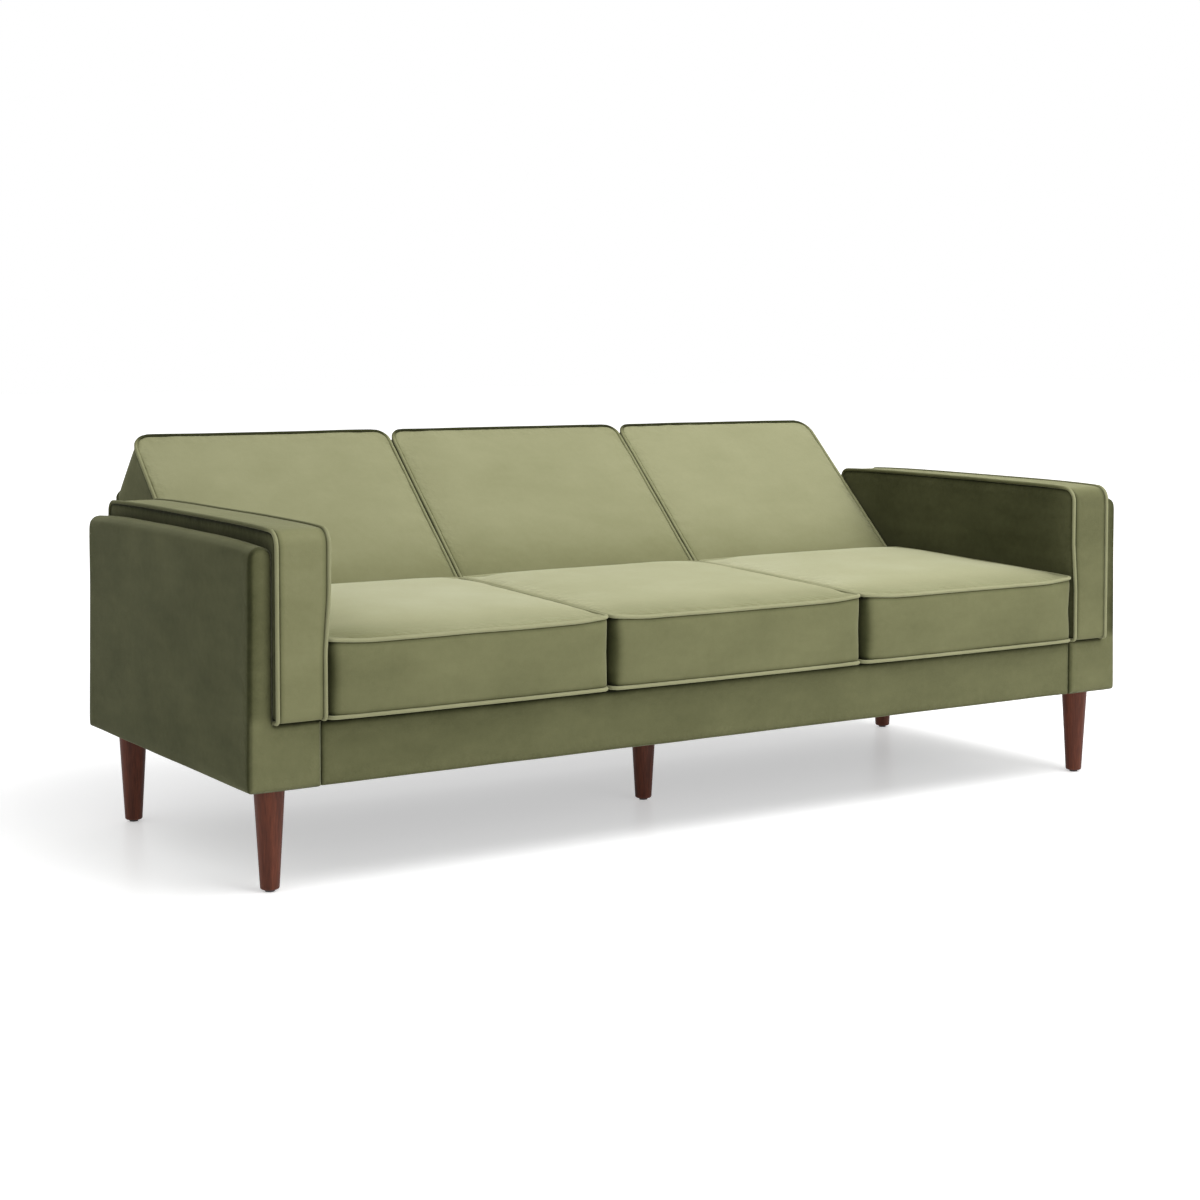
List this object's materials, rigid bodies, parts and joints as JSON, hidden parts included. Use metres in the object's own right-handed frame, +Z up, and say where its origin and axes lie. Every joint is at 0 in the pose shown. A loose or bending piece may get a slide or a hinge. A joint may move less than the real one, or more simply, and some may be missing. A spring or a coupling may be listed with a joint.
{
  "type": "sofa bed",
  "caption": "Click-clack sofa bed: velvet seat and reclining back in three sections between padded arms, on tapered round legs.",
  "frame": {"origin": "middle of the footprint of the sofa with its back in the lounge position, on the floor", "axes": "+X to the right of someone facing the front, +Y to the rear, +Z up"},
  "size_m": [2.13, 1.0866, 0.7776],
  "materials": {
    "black_cloth": "matte",
    "black_plastic": "satin",
    "felt": "matte",
    "foam": "matte",
    "frame_timber": "matte",
    "olive_velvet": "matte",
    "plywood": "matte",
    "walnut_stained_wood": "satin",
    "webbing": "matte",
    "zinc_steel": "satin"
  },
  "bodies": {
    "base": {"arm_bolts": "zinc_steel", "arm_posts": "frame_timber", "arm_rails": "frame_timber", "arm_rear_cloths": "black_cloth", "centre_beam": "frame_timber", "corner_blocks": "frame_timber", "dust_cover": "black_cloth", "front_apron": "olive_velvet", "front_rail": "frame_timber", "hanger_bolts": "zinc_steel", "hinge_blocks": "frame_timber", "hinge_fixed_bolts": "zinc_steel", "hinge_fixed_plates": "zinc_steel", "left_arm_pad": "olive_velvet", "left_arm_shell": "olive_velvet", "left_side_board": "plywood", "left_sill": "frame_timber", "leg_centre": "walnut_stained_wood", "leg_front_left": "walnut_stained_wood", "leg_front_right": "walnut_stained_wood", "leg_glides": "black_plastic", "leg_plates": "zinc_steel", "leg_rear_left": "walnut_stained_wood", "leg_rear_right": "walnut_stained_wood", "pivot_pins": "zinc_steel", "plate_screws": "zinc_steel", "ratchet_discs": "zinc_steel", "rear_rail": "frame_timber", "rear_rail_cloth": "black_cloth", "right_arm_pad": "olive_velvet", "right_arm_shell": "olive_velvet", "right_side_board": "plywood", "right_sill": "frame_timber", "seat_cushion_left": "olive_velvet", "seat_cushion_middle": "olive_velvet", "seat_cushion_right": "olive_velvet", "seat_felt": "felt", "seat_foam_left": "foam", "seat_foam_middle": "foam", "seat_foam_right": "foam", "seat_rear_rail": "frame_timber", "seat_webbing": "webbing"},
    "back": {"back_bottom_rail": "frame_timber", "back_cushion_left": "olive_velvet", "back_cushion_middle": "olive_velvet", "back_cushion_right": "olive_velvet", "back_foam_left": "foam", "back_foam_middle": "foam", "back_foam_right": "foam", "back_rear_panel": "black_cloth", "back_top_rail": "frame_timber", "back_uprights": "frame_timber", "back_webbing": "webbing", "hinge_moving_bolts": "zinc_steel", "hinge_moving_plates": "zinc_steel", "pawl_pins": "zinc_steel", "pawl_springs": "zinc_steel"},
    "left_pawl": {"left_pawl": "zinc_steel"},
    "right_pawl": {"right_pawl": "zinc_steel"}
  },
  "joints": [
    {"name": "back_recline", "type": "hinge", "parent": "base", "child": "back", "pos_m": [0, 0.11271, 0.43], "axis": [1, 0, 0], "range_deg": [-42.6, 32.4]},
    {"name": "left_pawl_turn", "type": "hinge", "parent": "back", "child": "left_pawl", "pos_m": [-0.9186, 0.16099, 0.43364], "axis": [1, 0, 0], "range_deg": [0, 12]},
    {"name": "right_pawl_turn", "type": "hinge", "parent": "back", "child": "right_pawl", "pos_m": [0.9186, 0.16099, 0.43364], "axis": [1, 0, 0], "range_deg": [0, 12]}
  ]
}
